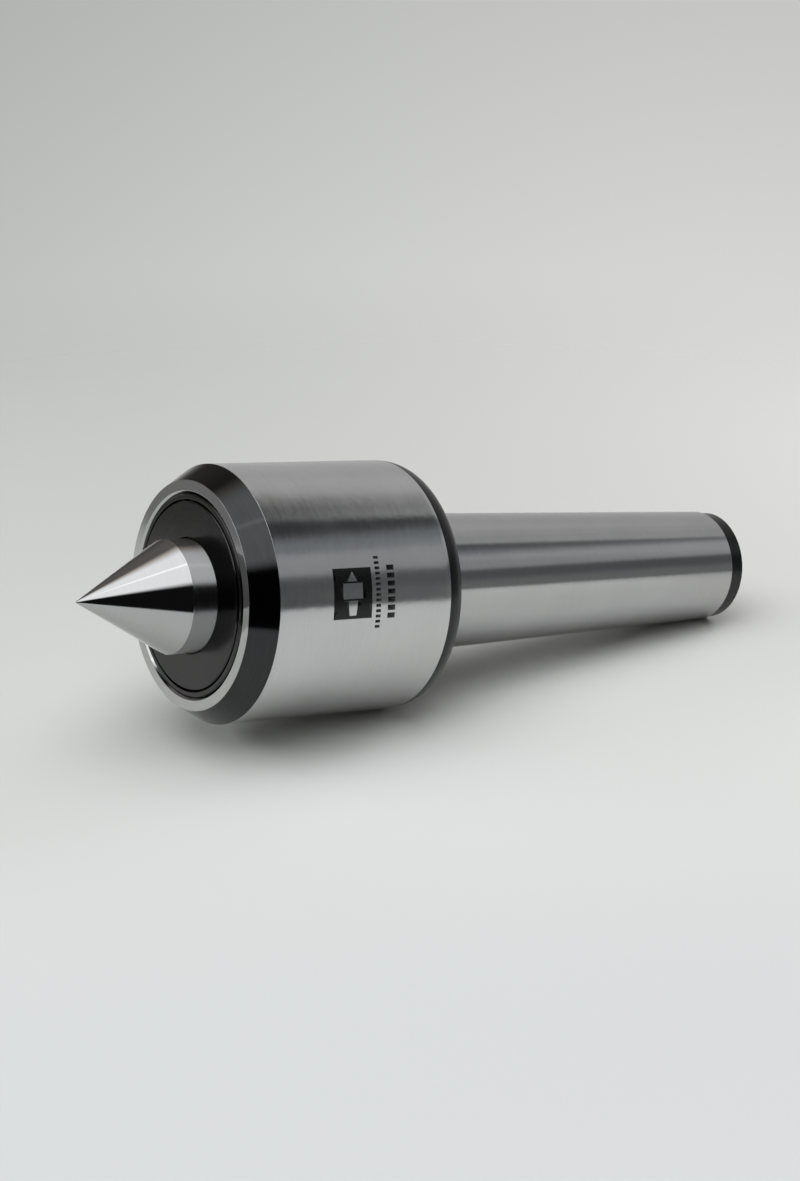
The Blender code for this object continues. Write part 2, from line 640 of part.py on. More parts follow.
def build():
    clear_scene()
    ground_steel = make_material("ground_steel", (0.62, 0.62, 0.61), 0.30)
    point_steel = make_material("polished_point_steel", (0.70, 0.70, 0.70), 0.15)
    black_nut = make_material("black_oxide_nut", (0.050, 0.050, 0.052), 0.35, 0.8)
    black_disc = make_material("black_oxide_disc", (0.030, 0.030, 0.032), 0.32, 0.8)
    dark_steel = make_material("lock_nut_steel", (0.10, 0.10, 0.11), 0.40, 0.8)
    washer_steel = make_material("washer_steel", (0.45, 0.46, 0.48), 0.35)
    ring_steel = make_material("bearing_ring_steel", (0.68, 0.69, 0.70), 0.20)
    ball_steel = make_material("ball_steel", (0.80, 0.81, 0.82), 0.06)
    rubber = make_material("nitrile_rubber", (0.020, 0.020, 0.020), 0.75, 0.0)
    brown_rubber = make_material("seal_rubber", (0.14, 0.06, 0.035), 0.65, 0.0)
    brass = make_material("cage_brass", (0.72, 0.50, 0.20), 0.30)
    plastic = make_material("cage_plastic", (0.52, 0.47, 0.34), 0.50, 0.0)
    cup_steel = make_material("drawn_cup_steel", (0.55, 0.55, 0.57), 0.32)
    spring_steel = make_material("garter_spring_steel", (0.50, 0.50, 0.50), 0.30)

    paint(make_housing(), ground_steel)
    paint(make_spindle(), point_steel)
    paint(make_front_nut(), black_nut)
    paint(make_sealing_disc(), black_disc)
    paint(make_shaft_seal(), brown_rubber)

    garter = ring_points(GARTER_X, GARTER_RADIUS, GARTER_WIRE)
    disc_o_ring = ring_points(DISC_O_RING_X, DISC_O_RING_RADIUS, DISC_O_RING_WIRE)
    nut_o_ring = ring_points(NUT_O_RING_X, NUT_O_RING_RADIUS, NUT_O_RING_WIRE)
    paint(turned("seal_garter_spring", garter, RUBBER_FACETS), spring_steel)
    paint(turned("disc_o_ring", disc_o_ring, RUBBER_FACETS), rubber)
    paint(turned("nut_o_ring", nut_o_ring, SMALL_FACETS), rubber)

    rings, front_cage = make_front_bearing()
    washers, thrust_cage = make_thrust_bearing()
    cup, needle_cage = make_needle_bearing()
    for ring in rings + washers:
        paint(ring, ring_steel)
    paint(front_cage, plastic)
    paint(thrust_cage, brass)
    paint(cup, cup_steel)
    paint(needle_cage, washer_steel)

    lock_nut, tab_washer = make_lock_nut()
    paint(lock_nut, dark_steel)
    paint(tab_washer, washer_steel)
    paint(make_thrust_shim(), washer_steel)

    rolling = [
        make_balls("front_ball", FRONT_BALL_COUNT, FRONT_BALL_RADIUS,
                   FRONT_BALL_X, FRONT_PITCH_RADIUS),
        make_balls("thrust_ball", THRUST_BALL_COUNT, THRUST_BALL_RADIUS,
                   THRUST_BALL_X, THRUST_PITCH_RADIUS),
        make_needles(),
    ]
    for group in rolling:
        paint(group[0], ball_steel)


build()
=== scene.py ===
"""Looks for a heavy-duty live center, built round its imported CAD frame.

Each turned CAD piece is turned again from its own outline, with more facets and with its
corners eased, and takes its finish: ground steel, black oxide, bearing steel, brass, rubber.
The tool lies on a plain floor, on the rear of its body and the end of its shank, so the
floor is tilted in the row frame. A wide softbox hangs over it.
"""
import json
import math

import bmesh
import bpy
import numpy as np
from mathutils import Matrix, Vector

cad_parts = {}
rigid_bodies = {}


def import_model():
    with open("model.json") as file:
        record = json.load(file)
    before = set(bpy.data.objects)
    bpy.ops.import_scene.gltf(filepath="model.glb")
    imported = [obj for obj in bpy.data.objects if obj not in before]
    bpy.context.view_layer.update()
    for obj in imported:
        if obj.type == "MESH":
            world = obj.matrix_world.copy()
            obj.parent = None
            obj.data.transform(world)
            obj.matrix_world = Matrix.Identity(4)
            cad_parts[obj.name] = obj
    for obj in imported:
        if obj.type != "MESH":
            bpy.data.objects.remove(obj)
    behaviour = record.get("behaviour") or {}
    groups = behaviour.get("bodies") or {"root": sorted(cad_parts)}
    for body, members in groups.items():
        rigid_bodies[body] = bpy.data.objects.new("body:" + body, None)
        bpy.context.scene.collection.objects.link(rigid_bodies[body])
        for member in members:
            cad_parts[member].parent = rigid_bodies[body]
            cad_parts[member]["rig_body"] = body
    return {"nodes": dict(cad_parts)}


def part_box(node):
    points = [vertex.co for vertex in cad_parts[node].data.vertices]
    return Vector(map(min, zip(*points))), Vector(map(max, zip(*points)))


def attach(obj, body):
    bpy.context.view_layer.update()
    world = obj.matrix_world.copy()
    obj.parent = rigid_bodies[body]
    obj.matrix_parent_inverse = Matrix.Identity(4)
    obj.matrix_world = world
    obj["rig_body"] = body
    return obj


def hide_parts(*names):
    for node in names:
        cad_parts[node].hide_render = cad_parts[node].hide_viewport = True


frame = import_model()

MM = 0.001
FULL_TURN = 2 * math.pi
MERGE = 0.001 * MM                  # the frame's vertices are split into copies closer than this
ON_PLANE = 0.003 * MM

# How outlines are eased
GENTLE_TURN = math.radians(27.0)    # a smaller corner is part of a curve, and becomes one
GENTLE_STEPS = 3
EDGE_STEPS = 4
EDGE_SHARE = 0.3                    # of the shorter side that an eased edge may take
CRISP_EDGE = 0.18 * MM
FINE_EDGE = 0.08 * MM

# Facets round the axis
LARGE_FACETS = 224
RING_FACETS = 144
SMALL_FACETS = 96
WIRE_FACETS = 16
BALL_FACETS = 40

# The marking on the body: plain shapes, in millimetres along the arc and along X
MARK_ANGLE = math.radians(14.65)    # of its middle, from +Y towards +Z
MARK_X = 49.25
MARK_BLOCK = (15.2, 13.6)
MARK_LIFT = 0.02 * MM
MARK_STEP = 0.4                     # it is cut into strips this wide, to bend round the body
MARK_WELD = 0.0001                  # its points closer than this are one
MARK_SKETCH = (                     # point, body and shank: arc, and X from the block's middle
    ((6.6, 0.0), (3.6, 1.7), (3.6, -1.7)),
    ((-1.6, -3.5), (3.1, -3.5), (3.1, 3.5), (-1.6, 3.5)),
    ((-2.1, -1.7), (-2.1, 1.7), (-6.6, 1.2), (-6.6, -1.2)),
)
MARK_ROWS = (                       # X of the middle, height, count, width and pitch of its ticks
    (40.1, 1.7, 14, 0.9, 1.6),
    (35.4, 2.6, 7, 1.6, 2.4),
)

# The housing's finishes, in the order that make_pieces gives them in
BODY_STEEL, FRONT_OXIDE, FRONT_FACE, REAR_OXIDE, SHANK_STEEL = range(5)

# Corners of the CAD's outlines are told apart by these
SHANK_END_X = -0.12                 # the end of the taper and the relieved end lie behind this
SHANK_LARGEST = 0.026               # the body is thicker than this, the shank thinner
RELIEF_RADIUS = 0.0185              # the relieved end is thinner than this, the taper thicker
NOSE_RADIUS = 0.0172                # the nose is thicker than this, up to the cone's base

# Where the tool is seen from
CAMERA_PLACE = Vector((0.43069, 0.57066, 0.18536))
CAMERA_AIM = Vector((0.00434, 0.00075, -0.00229))
LENS = 70.07
CLIP = (0.01, 50.0)

# The studio, measured from the tool in metres to the camera's right, ahead of it and up. The
# polished metal mirrors the table only as far as its edges: it is cut off slantwise at the right.
FLOOR_RADIUS = 4.0
FLOOR_FACETS = 128
FLOOR_FADE = (0.15, 0.70)           # where the table melts into the backdrop
TABLE_LEFT = -0.40
TABLE_NEAR = -0.32
TABLE_SLANT = 0.28                  # right plus ahead, at the slanting edge
TABLE_SOFTNESS = 0.06
SLANT_SOFTNESS = (0.08, 0.16)       # on the near and on the far side of it

# The paper's colour near the camera, beside the tool, behind it, and to the left of all these,
# and where each goes over into the next. These colours are painted light and shade, with slight
# tints: brightest beside the tool, darker near the camera, painted shade behind it and at the
# left.
PAPER_NEAR_PAINTED_LIGHT = (0.714, 0.734, 0.747, 1.0)
PAPER_MIDDLE_PAINTED_LIGHT = (0.795, 0.815, 0.802, 1.0)
PAPER_FAR_PAINTED_SHADE = (0.690, 0.698, 0.690, 1.0)
PAPER_LEFT_PAINTED_SHADE = (0.640, 0.659, 0.636, 1.0)
PAPER_NEAR_RAMP = (-0.30, 0.02)
PAPER_FAR_RAMP = (-0.06, 0.16)
PAPER_LEFT_RAMP = (-0.26, 0.08)
PAPER_GRAIN = 2500.0
PAPER_ROUGHNESS = 0.9
PAPER_GLOSS = 0.2

# The backdrop's brightness from low to high and its tint from left to right, angles in degrees
BACKDROP_LEVEL = (0.745, 0.54)
BACKDROP_ELEVATION = (-19.0, -5.5)
BACKDROP_LEFT = (0.70, 0.74, 0.71, 1.0)
BACKDROP_RIGHT = (1.045, 1.05, 1.03, 1.0)
BACKDROP_AZIMUTH = (-22.0, 9.0)

SOFTBOX_HEIGHT = 1.0
SOFTBOX_SIDES = (-0.80, 0.45)
SOFTBOX_DEPTH = (-1.85, 0.62)
SOFTBOX_NEAR_FADE = (-1.40, -0.95)  # dark at the first depth, full at the second
SOFTBOX_FAR_FADE = (0.06, 0.62)     # full at the first depth, dark at the second
SOFTBOX_BRIGHTNESS = 1.5
SOFTBOX_SEAM = -0.29                # depth of a brighter seam across it
SEAM_WIDTH = 0.06
SEAM_EXTRA = 0.36
SOFTBOX_WARM_RAMP = (0.2, 0.5)      # its far end is warmer
SOFTBOX_WARMTH = (-0.01, 0.14)

# Plain lamps that the metal does not mirror: name, sides, depth, height and brightness
FILLS = (("fill", (-0.60, 0.25), (-1.10, -0.10), 1.0, 2.15),
         ("left_fill", (-1.05, -0.65), (-0.45, 0.25), 0.45, 5.0),
         ("right_fill", (0.55, 0.95), (-0.70, -0.10), 0.45, 1.2),
         ("far_fill", (0.35, 0.80), (0.15, 0.65), 0.40, 3.2))
AMBIENT = 0.12                      # what lights everything but reflections, from all sides

# What stands round the table: azimuth from, to and softness; elevation from, to and softness;
# brightness and warmth. Azimuth 0 is ahead of the camera and 90 to its right, in degrees.
PANELS = (
    ((-16.0, 65.5, 9.0), (-90.0, 47.0, 12.0), 0.49, 0.0),       # wall ahead
    ((5.0, 36.0, 12.0), (30.0, 50.0, 10.0), 0.05, 0.0),         # its paler top
    ((48.0, 66.0, 8.0), (-90.0, 50.0, 8.0), -0.045, 0.0),       # a darker strip at its edge
    ((68.0, 128.0, 6.0), (-90.0, 42.0, 6.0), 0.08, -0.03),      # wall to the right
    ((68.0, 109.5, 4.0), (-90.0, 42.0, 6.0), 0.04, -0.06),      # its far part
    ((76.0, 128.0, 6.0), (33.0, 41.0, 4.0), 0.07, -0.12),       # its bluish upper part
    ((68.0, 126.0, 6.0), (18.5, 33.0, 5.0), 0.26, -0.03),       # a paler stretch below that
    ((66.0, 88.0, 8.0), (17.0, 36.0, 4.0), 0.10, -0.01),        # palest at its far end
    ((70.0, 109.5, 3.0), (-90.0, 6.0, 10.0), 0.09, 0.03),       # its foot
    ((50.0, 110.0, 20.0), (30.0, 60.0, 14.0), 0.03, -0.06),     # ceiling over it
    ((-62.0, -20.0, 18.0), (-90.0, 60.0, 14.0), 0.15, 0.08),    # ahead, to the left
    ((-128.0, -60.0, 16.0), (-90.0, 40.0, 14.0), 0.22, 0.0),    # wall to the left
)
CEILING = 0.008                     # what the metal mirrors everywhere else

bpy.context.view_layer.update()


class Graph:
    """A node tree, with short ways to add nodes and join them."""

    def __init__(self, tree):
        self.tree = tree

    def add(self, kind, inputs=None, **settings):
        node = self.tree.nodes.new(kind)
        for name, value in settings.items():
            setattr(node, name, value)
        for key, value in (inputs or {}).items():
            self.join(value, node.inputs[key])
        return node

    def join(self, value, socket):
        if isinstance(value, bpy.types.NodeSocket):
            self.tree.links.new(value, socket)
        else:
            socket.default_value = value

    def math(self, operation, *values):
        node = self.add("ShaderNodeMath", dict(enumerate(values)), operation=operation)
        return node.outputs[0]

    def dot(self, vector, axis):
        node = self.add("ShaderNodeVectorMath", {0: vector, 1: tuple(axis)},
                        operation="DOT_PRODUCT")
        return node.outputs["Value"]

    def spread(self, value, start, end, low=0.0, high=1.0):
        """value, eased from low at start to high at end."""
        node = self.add("ShaderNodeMapRange", {"Value": value, "From Min": start, "From Max": end,
                                               "To Min": low, "To Max": high})
        node.interpolation_type = "SMOOTHSTEP"
        return node.outputs["Result"]

    def spread_evenly(self, value, start, end, low, high):
        node = self.add("ShaderNodeMapRange", {"Value": value, "From Min": start, "From Max": end,
                                               "To Min": low, "To Max": high})
        return node.outputs["Result"]

    def within(self, value, low, high, soft):
        """1 between low and high, falling to 0 over soft on both sides."""
        rise = self.spread(value, low - soft / 2, low + soft / 2)
        fall = self.spread(value, high - soft / 2, high + soft / 2, 1.0, 0.0)
        return self.math("MULTIPLY", rise, fall)

    def mix(self, share, first, second):
        node = self.add("ShaderNodeMix", {0: share, 6: first, 7: second}, data_type="RGBA")
        return node.outputs[2]


def grey(value, warmth=0.0):
    """A grey, a little warm or, below 0, a little blue."""
    return (value * (1 + warmth), value, value * (1 - warmth), 1.0)


# ---------------------------------------------------------------- outlines of turned pieces


def merged(node):
    bm = bmesh.new()
    bm.from_mesh(frame["nodes"][node].data)
    bmesh.ops.remove_doubles(bm, verts=bm.verts, dist=MERGE)
    return bm


def outline(node):
    """A turned CAD node's (x, r) corners, in order, and whether they close on themselves."""
    bm = merged(node)
    corners = {v: (v.co.x, max(-v.co.z, 0.0)) for v in bm.verts
               if abs(v.co.y) < ON_PLANE and v.co.z < ON_PLANE}
    beside = {v: [e.other_vert(v) for e in v.link_edges if e.other_vert(v) in corners]
              for v in corners}
    ends = [v for v in corners if len(beside[v]) == 1]
    current = max(ends or corners, key=lambda v: v.co.x)
    order = [current]
    while True:
        onward = [v for v in beside[current] if v not in order]
        if not onward:
            break
        current = onward[0]
        order.append(current)
    points = [corners[v] for v in order]
    bm.free()
    if ends:
        off_axis = [p for p in points if p[1] > MERGE]
        points = [(points[0][0], 0.0), *off_axis, (points[-1][0], 0.0)]
    area = sum(x0 * r1 - x1 * r0 for (x0, r0), (x1, r1) in zip(points, points[1:] + points[:1]))
    return (points if area > 0 else points[::-1]), not ends


def turned_by(vector, angle):
    c, s = math.cos(angle), math.sin(angle)
    return np.array((c * vector[0] - s * vector[1], s * vector[0] + c * vector[1]))


def eased(points, closed, edge):
    """The outline as (x, r, normal x, normal r) rows, with an arc at every corner."""
    rows = []
    count = len(points)
    corners = [np.array(p) for p in points]
    for i, corner in enumerate(corners):
        if not closed and i in (0, count - 1):
            rows.append((*corner, 1.0 if i == 0 else -1.0, 0.0))
            continue
        before = corner - corners[i - 1]
        after = corners[(i + 1) % count] - corner
        shorter = min(np.linalg.norm(before), np.linalg.norm(after))
        before = before / np.linalg.norm(before)
        after = after / np.linalg.norm(after)
        turn = math.atan2(before[0] * after[1] - before[1] * after[0], before @ after)
        tangent = math.tan(abs(turn) / 2)
        gentle = abs(turn) < GENTLE_TURN
        reach = shorter / 2 if gentle else min(edge * tangent, EDGE_SHARE * shorter)
        radius = math.copysign(reach / tangent, turn)
        normal = np.array((before[1], -before[0]))
        centre = corner - reach * before - radius * normal
        steps = GENTLE_STEPS if gentle else EDGE_STEPS
        for k in range(steps + 1):
            facing = turned_by(normal, turn * k / steps)
            rows.append((*(centre + radius * facing), *facing))
    return rows


def revolve(name, rows, closed, facets, finish_at=None):
    """Turn outline rows about X. finish_at(x, r) gives the material index of a face there."""
    verts, normals, rings = [], [], []
    for x, r, nx, nr in rows:
        ring = []
        for k in range(facets if r > MERGE else 1):
            c, s = math.cos(FULL_TURN * k / facets), math.sin(FULL_TURN * k / facets)
            ring.append(len(verts))
            verts.append((x, r * c, r * s))
            normals.append((nx, nr * c, nr * s))
        rings.append(ring)
    faces, finishes = [], []
    pairs = list(zip(range(len(rows)), range(1, len(rows))))
    if closed:
        pairs.append((len(rows) - 1, 0))
    for i, j in pairs:
        first, second = rings[i], rings[j]
        middle = ((rows[i][0] + rows[j][0]) / 2, (rows[i][1] + rows[j][1]) / 2)
        finish = finish_at(*middle) if finish_at else 0
        for k in range(facets):
            m = (k + 1) % facets
            corners = [first[k % len(first)], second[k % len(second)],
                       second[m % len(second)], first[m % len(first)]]
            faces.append(list(dict.fromkeys(corners)))
            finishes.append(finish)
    mesh = bpy.data.meshes.new(name)
    mesh.from_pydata(verts, [], faces)
    mesh.polygons.foreach_set("material_index", finishes)
    mesh.shade_smooth()
    mesh.normals_split_custom_set_from_vertices(normals)
    obj = bpy.data.objects.new(name, mesh)
    bpy.context.scene.collection.objects.link(obj)
    return obj


def body_of(node):
    return frame["nodes"][node]["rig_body"]


def dress(piece, node, *materials):
    """piece stands for the CAD node, moves with its body and shows these materials."""
    if not piece.data.materials:
        for material in materials:
            piece.data.materials.append(material)
    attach(piece, body_of(node))
    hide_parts(node)
    return piece


def turn_again(node, facets, edge, *materials, finish_at=None):
    points, closed = outline(node)
    piece = revolve(node + "_finished", eased(points, closed, edge), closed, facets, finish_at)
    return dress(piece, node, *materials)


def section_of(node):
    """Lowest and highest x and r over a ring whose section is a plain rectangle."""
    bm = merged(node)
    xs = [v.co.x for v in bm.verts]
    radii = [math.hypot(v.co.y, v.co.z) for v in bm.verts]
    bm.free()
    return min(xs), max(xs), min(radii), max(radii)


# ---------------------------------------------------------------- finishes


def new_material(name):
    material = bpy.data.materials.new(name)
    material.use_nodes = True
    graph = Graph(material.node_tree)
    return material, graph, material.node_tree.nodes["Principled BSDF"]


def turning_marks(graph, pitch, drift):
    """Fine lines round the X axis: noise, fast along the surface and slow round it."""
    place = graph.add("ShaderNodeTexCoord").outputs["Object"]
    xyz = graph.add("ShaderNodeSeparateXYZ", {0: place}).outputs
    radius = graph.math("SQRT", graph.math("ADD", graph.math("MULTIPLY", xyz[1], xyz[1]),
                                           graph.math("MULTIPLY", xyz[2], xyz[2])))
    along = graph.math("MULTIPLY", graph.math("ADD", xyz[0], radius), 1.0 / pitch)
    round_y = graph.math("MULTIPLY", xyz[1], 1.0 / drift)
    round_z = graph.math("MULTIPLY", xyz[2], 1.0 / drift)
    vector = graph.add("ShaderNodeCombineXYZ", {0: along, 1: round_y, 2: round_z}).outputs[0]
    return graph.add("ShaderNodeTexNoise", {"Vector": vector, "Scale": 1.0, "Detail": 3.0,
                                            "Roughness": 0.6}).outputs["Fac"]


def clouds(graph, size, detail=4.0):
    place = graph.add("ShaderNodeTexCoord").outputs["Object"]
    return graph.add("ShaderNodeTexNoise", {"Vector": place, "Scale": 1.0 / size,
                                            "Detail": detail}).outputs["Fac"]


def turned_metal(name, colour, roughness, anisotropy, marks=0.05, bump=0.04, stain=0.06,
                 pitch=0.12 * MM, drift=9 * MM, wave=0.0, lean=0.0):
    """Metal that was turned or ground round X: fine lines, soft stains, a stretched gloss.

    wave is the height of very slight, broad unevenness, which makes reflections cloudy. lean
    is the slope of a coarse tool's grooves, whose flanks that face the front give the gloss.
    """
    material, graph, shader = new_material(name)
    fine = turning_marks(graph, pitch, drift)
    broad = turning_marks(graph, 14 * pitch, 4 * drift)
    spots = clouds(graph, 16 * MM)
    dull = tuple(c * (1 - stain) for c in colour[:3]) + (1.0,)
    share = graph.math("ADD", graph.math("MULTIPLY", graph.spread(spots, 0.35, 0.75), 0.6),
                       graph.math("MULTIPLY", broad, 0.4))
    lines = graph.spread(fine, 0.25, 0.75, 1 - marks, 1 + marks)
    tint = graph.mix(share, colour, dull)
    scaled = graph.add("ShaderNodeVectorMath", {0: tint, "Scale": lines}, operation="SCALE")
    rough = graph.math("ADD", graph.spread(fine, 0.2, 0.8, -0.3 * roughness, 0.3 * roughness),
                       graph.spread(spots, 0.3, 0.8, 0.95 * roughness, 1.25 * roughness))
    place = graph.add("ShaderNodeTexCoord").outputs["Object"]
    flanks = graph.add("ShaderNodeBump", {"Height": graph.dot(place, (-lean, 0.0, 0.0)),
                                          "Strength": 1.0, "Distance": 1.0}).outputs[0]
    waves = graph.add("ShaderNodeBump", {"Height": spots, "Strength": 1.0, "Distance": wave,
                                         "Normal": flanks}).outputs[0]
    dents = graph.add("ShaderNodeBump", {"Height": fine, "Strength": bump,
                                         "Distance": 0.01 * MM, "Normal": waves}).outputs[0]
    tangent = graph.add("ShaderNodeTangent", direction_type="RADIAL", axis="X").outputs[0]
    for key, value in {"Base Color": scaled.outputs[0], "Metallic": 1.0, "Roughness": rough,
                       "Anisotropic": anisotropy, "Anisotropic Rotation": 0.25,
                       "Normal": dents, "Tangent": tangent}.items():
        graph.join(value, shader.inputs[key])
    return material


def plain_metal(name, colour, roughness, stain=0.1):
    """Metal with no turning lines: drawn, pressed, rolled or lapped."""
    material, graph, shader = new_material(name)
    spots = clouds(graph, 5 * MM, 6.0)
    grain = clouds(graph, 0.35 * MM, 2.0)
    dull = tuple(c * (1 - stain) for c in colour[:3]) + (1.0,)
    for key, value in {"Base Color": graph.mix(spots, colour, dull), "Metallic": 1.0,
                       "Roughness": graph.spread(grain, 0.2, 0.8, 0.8 * roughness,
                                                 1.2 * roughness),
                       "Normal": graph.add("ShaderNodeBump", {
                           "Height": grain, "Strength": 0.05,
                           "Distance": 0.01 * MM}).outputs[0]}.items():
        graph.join(value, shader.inputs[key])
    return material


def moulded(name, colour, roughness, grain_size=0.5 * MM, bump=0.15):
    """Rubber or plastic: a fine grain and slightly uneven colour."""
    material, graph, shader = new_material(name)
    grain = clouds(graph, grain_size, 3.0)
    patches = clouds(graph, 8 * MM)
    light = tuple(min(c * 1.25 + 0.004, 1.0) for c in colour[:3]) + (1.0,)
    for key, value in {"Base Color": graph.mix(patches, colour, light),
                       "Roughness": graph.spread(grain, 0.2, 0.8, roughness - 0.08,
                                                 roughness + 0.08),
                       "Normal": graph.add("ShaderNodeBump", {
                           "Height": grain, "Strength": bump,
                           "Distance": 0.02 * MM}).outputs[0]}.items():
        graph.join(value, shader.inputs[key])
    return material


# ---------------------------------------------------------------- pieces


def taper_end(points):
    """The corner of the housing where the taper stops and the relieved end begins."""
    return max((x, r) for x, r in points if x < SHANK_END_X and r > RELIEF_RADIUS)


def housing_finish(points):
    """Which of its finishes the housing has at a place: they change just past its edges."""
    radius = max(r for x, r in points)
    cylinder = [x for x, r in points if r > radius - MERGE]
    body_rear, body_front = min(cylinder), max(cylinder)
    front_x = max(x for x, r in points)
    front_radius = max(r for x, r in points if x > front_x - MERGE)
    shank_radius = max(r for x, r in points if 0 < x < body_rear and r < SHANK_LARGEST)
    taper_x = taper_end(points)[0]
    end_x = min(x for x, r in points)
    hole_radius = min(r for x, r in points if x < end_x + MERGE)
    margin = 0.7 * CRISP_EDGE

    def finish_at(x, r):
        chamfer = body_front + margin < x < front_x - margin and r > front_radius - MERGE
        rear = x < body_rear - margin and r > shank_radius + margin
        end = x < taper_x - margin / 2 and r > hole_radius + margin
        if chamfer:
            return FRONT_OXIDE
        if rear or end:
            return REAR_OXIDE
        if x < body_rear:
            return SHANK_STEEL
        return FRONT_FACE if x > front_x - MM else BODY_STEEL

    return finish_at


def wire_ring(node, *materials):
    """A ring of round section, in place of the CAD's, a hexagon with flat sides out and in."""
    low, high, inner, outer = section_of(node)
    middle, wire, radius = (low + high) / 2, (high - low) / 2, (inner + outer) / 2
    rows = []
    for k in range(WIRE_FACETS):
        c, s = math.cos(FULL_TURN * k / WIRE_FACETS), math.sin(FULL_TURN * k / WIRE_FACETS)
        rows.append((middle + wire * c, radius + wire * s, c, s))
    return dress(revolve(node + "_finished", rows, True, RING_FACETS), node, *materials)


def rolling_pieces(prefix, material):
    """A smooth ball or needle for each coarse one, on one shared mesh."""
    nodes = [n for n in frame["nodes"] if n.startswith(prefix) and n[len(prefix):].isdigit()]
    low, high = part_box(nodes[0])
    centre, half = (low + high) / 2, (high.x - low.x) / 2
    radius = max(math.hypot(v.co.y - centre.y, v.co.z - centre.z)
                 for v in frame["nodes"][nodes[0]].data.vertices)
    is_needle = half > 2 * radius
    if is_needle:
        corners = [(half, 0.0), (half, radius), (-half, radius), (-half, 0.0)]
        rows = eased(corners, False, radius / 3)
    else:
        rows = []
        for angle in np.linspace(0, math.pi, BALL_FACETS // 2 + 1):
            c, s = math.cos(angle), math.sin(angle)
            rows.append((radius * c, radius * abs(s), c, s))
    shared = revolve(prefix + "pattern", rows, False, BALL_FACETS)
    for node in nodes:
        low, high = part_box(node)
        piece = bpy.data.objects.new(node + "_finished", shared.data)
        bpy.context.scene.collection.objects.link(piece)
        piece.location = (low + high) / 2
        dress(piece, node, material)
    bpy.data.objects.remove(shared)


def keep(node, material, edge=0.15 * MM):
    """A CAD piece whose shape is right: eased edges and its finish."""
    obj = frame["nodes"][node]
    obj.data.materials.clear()
    obj.data.materials.append(material)
    weld = obj.modifiers.new("weld", "WELD")
    weld.merge_threshold = MERGE
    bevel = obj.modifiers.new("eased_edges", "BEVEL")
    bevel.width = edge
    bevel.segments = 2
    bevel.limit_method = "ANGLE"
    bevel.angle_limit = GENTLE_TURN
    obj.modifiers.new("normals", "WEIGHTED_NORMAL")


def box_outline(centre, size):
    (u, v), (w, h) = centre, (size[0] / 2, size[1] / 2)
    return [(u - w, v - h), (u + w, v - h), (u + w, v + h), (u - w, v + h)]


def bent_patch(name, outlines, radius):
    """A flat shape in millimetres (arc, x) laid on the cylinder, as thin as an etched mark."""
    curve = bpy.data.curves.new(name, "CURVE")
    curve.dimensions = "2D"
    curve.fill_mode = "BOTH"
    for points in outlines:
        spline = curve.splines.new("POLY")
        spline.points.add(len(points) - 1)
        for point, (u, v) in zip(spline.points, points):
            point.co = (u, v, 0.0, 1.0)
        spline.use_cyclic_u = True
    flat = bpy.data.objects.new(name + "_flat", curve)
    bpy.context.scene.collection.objects.link(flat)
    graph = bpy.context.evaluated_depsgraph_get()
    mesh = bpy.data.meshes.new_from_object(flat.evaluated_get(graph))
    bpy.data.objects.remove(flat)
    bm = bmesh.new()
    bm.from_mesh(mesh)
    bmesh.ops.remove_doubles(bm, verts=bm.verts, dist=MARK_WELD)
    extent = max(abs(v.co.x) for v in bm.verts)
    cut = -extent + MARK_STEP
    while cut < extent:
        everything = list(bm.verts) + list(bm.edges) + list(bm.faces)
        bmesh.ops.bisect_plane(bm, geom=everything, plane_co=(cut, 0, 0), plane_no=(1, 0, 0))
        cut += MARK_STEP
    for vert in bm.verts:
        angle = MARK_ANGLE + vert.co.x * MM / radius
        height = radius + MARK_LIFT
        vert.co = (vert.co.y * MM, height * math.cos(angle), height * math.sin(angle))
    bmesh.ops.recalc_face_normals(bm, faces=bm.faces)
    bm.to_mesh(mesh)
    bm.free()
    mesh.name = name
    piece = bpy.data.objects.new(name, mesh)
    bpy.context.scene.collection.objects.link(piece)
    return piece


def make_marking(radius, material):
    """A dark block with a plain sketch of the tool left bare in it, and two rows of ticks."""
    block = box_outline((0.0, MARK_X), MARK_BLOCK)
    outlines = [block] + [[(u, MARK_X + v) for u, v in part] for part in MARK_SKETCH]
    for middle, height, count, width, pitch in MARK_ROWS:
        for i in range(count):
            arc = (i - (count - 1) / 2) * pitch
            outlines.append(box_outline((arc, middle), (width, height)))
    mark = bent_patch("etched_mark", outlines, radius)
    mark.data.materials.append(material)
    solid = mark.modifiers.new("thickness", "SOLIDIFY")
    solid.thickness = MARK_LIFT
    mark.modifiers.new("normals", "WEIGHTED_NORMAL")
    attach(mark, "housing")


# ---------------------------------------------------------------- floor, light, camera


def resting_floor():
    """The plane under the body's rear edge and the end of the taper: its normal and a point."""
    points = outline("housing")[0]
    radius = max(r for x, r in points)
    body = min((x, r) for x, r in points if r > radius - MERGE)
    end = taper_end(points)
    slope = math.atan2(body[1] - end[1], body[0] - end[0])
    normal = Vector((math.sin(slope), 0.0, math.cos(slope)))
    return normal, Vector((body[0], 0.0, -body[1]))


def studio_axes(normal):
    forward = (CAMERA_AIM - CAMERA_PLACE).normalized()
    ahead = (forward - forward.dot(normal) * normal).normalized()
    return ahead, ahead.cross(normal)


def make_camera(normal):
    camera = bpy.data.objects.new("camera", bpy.data.cameras.new("camera"))
    bpy.context.scene.collection.objects.link(camera)
    forward = (CAMERA_AIM - CAMERA_PLACE).normalized()
    right = forward.cross(normal).normalized()
    basis = Matrix((right, right.cross(forward), -forward)).transposed().to_4x4()
    camera.matrix_world = Matrix.Translation(CAMERA_PLACE) @ basis
    camera.data.lens = LENS
    camera.data.clip_start, camera.data.clip_end = CLIP
    bpy.context.scene.camera = camera


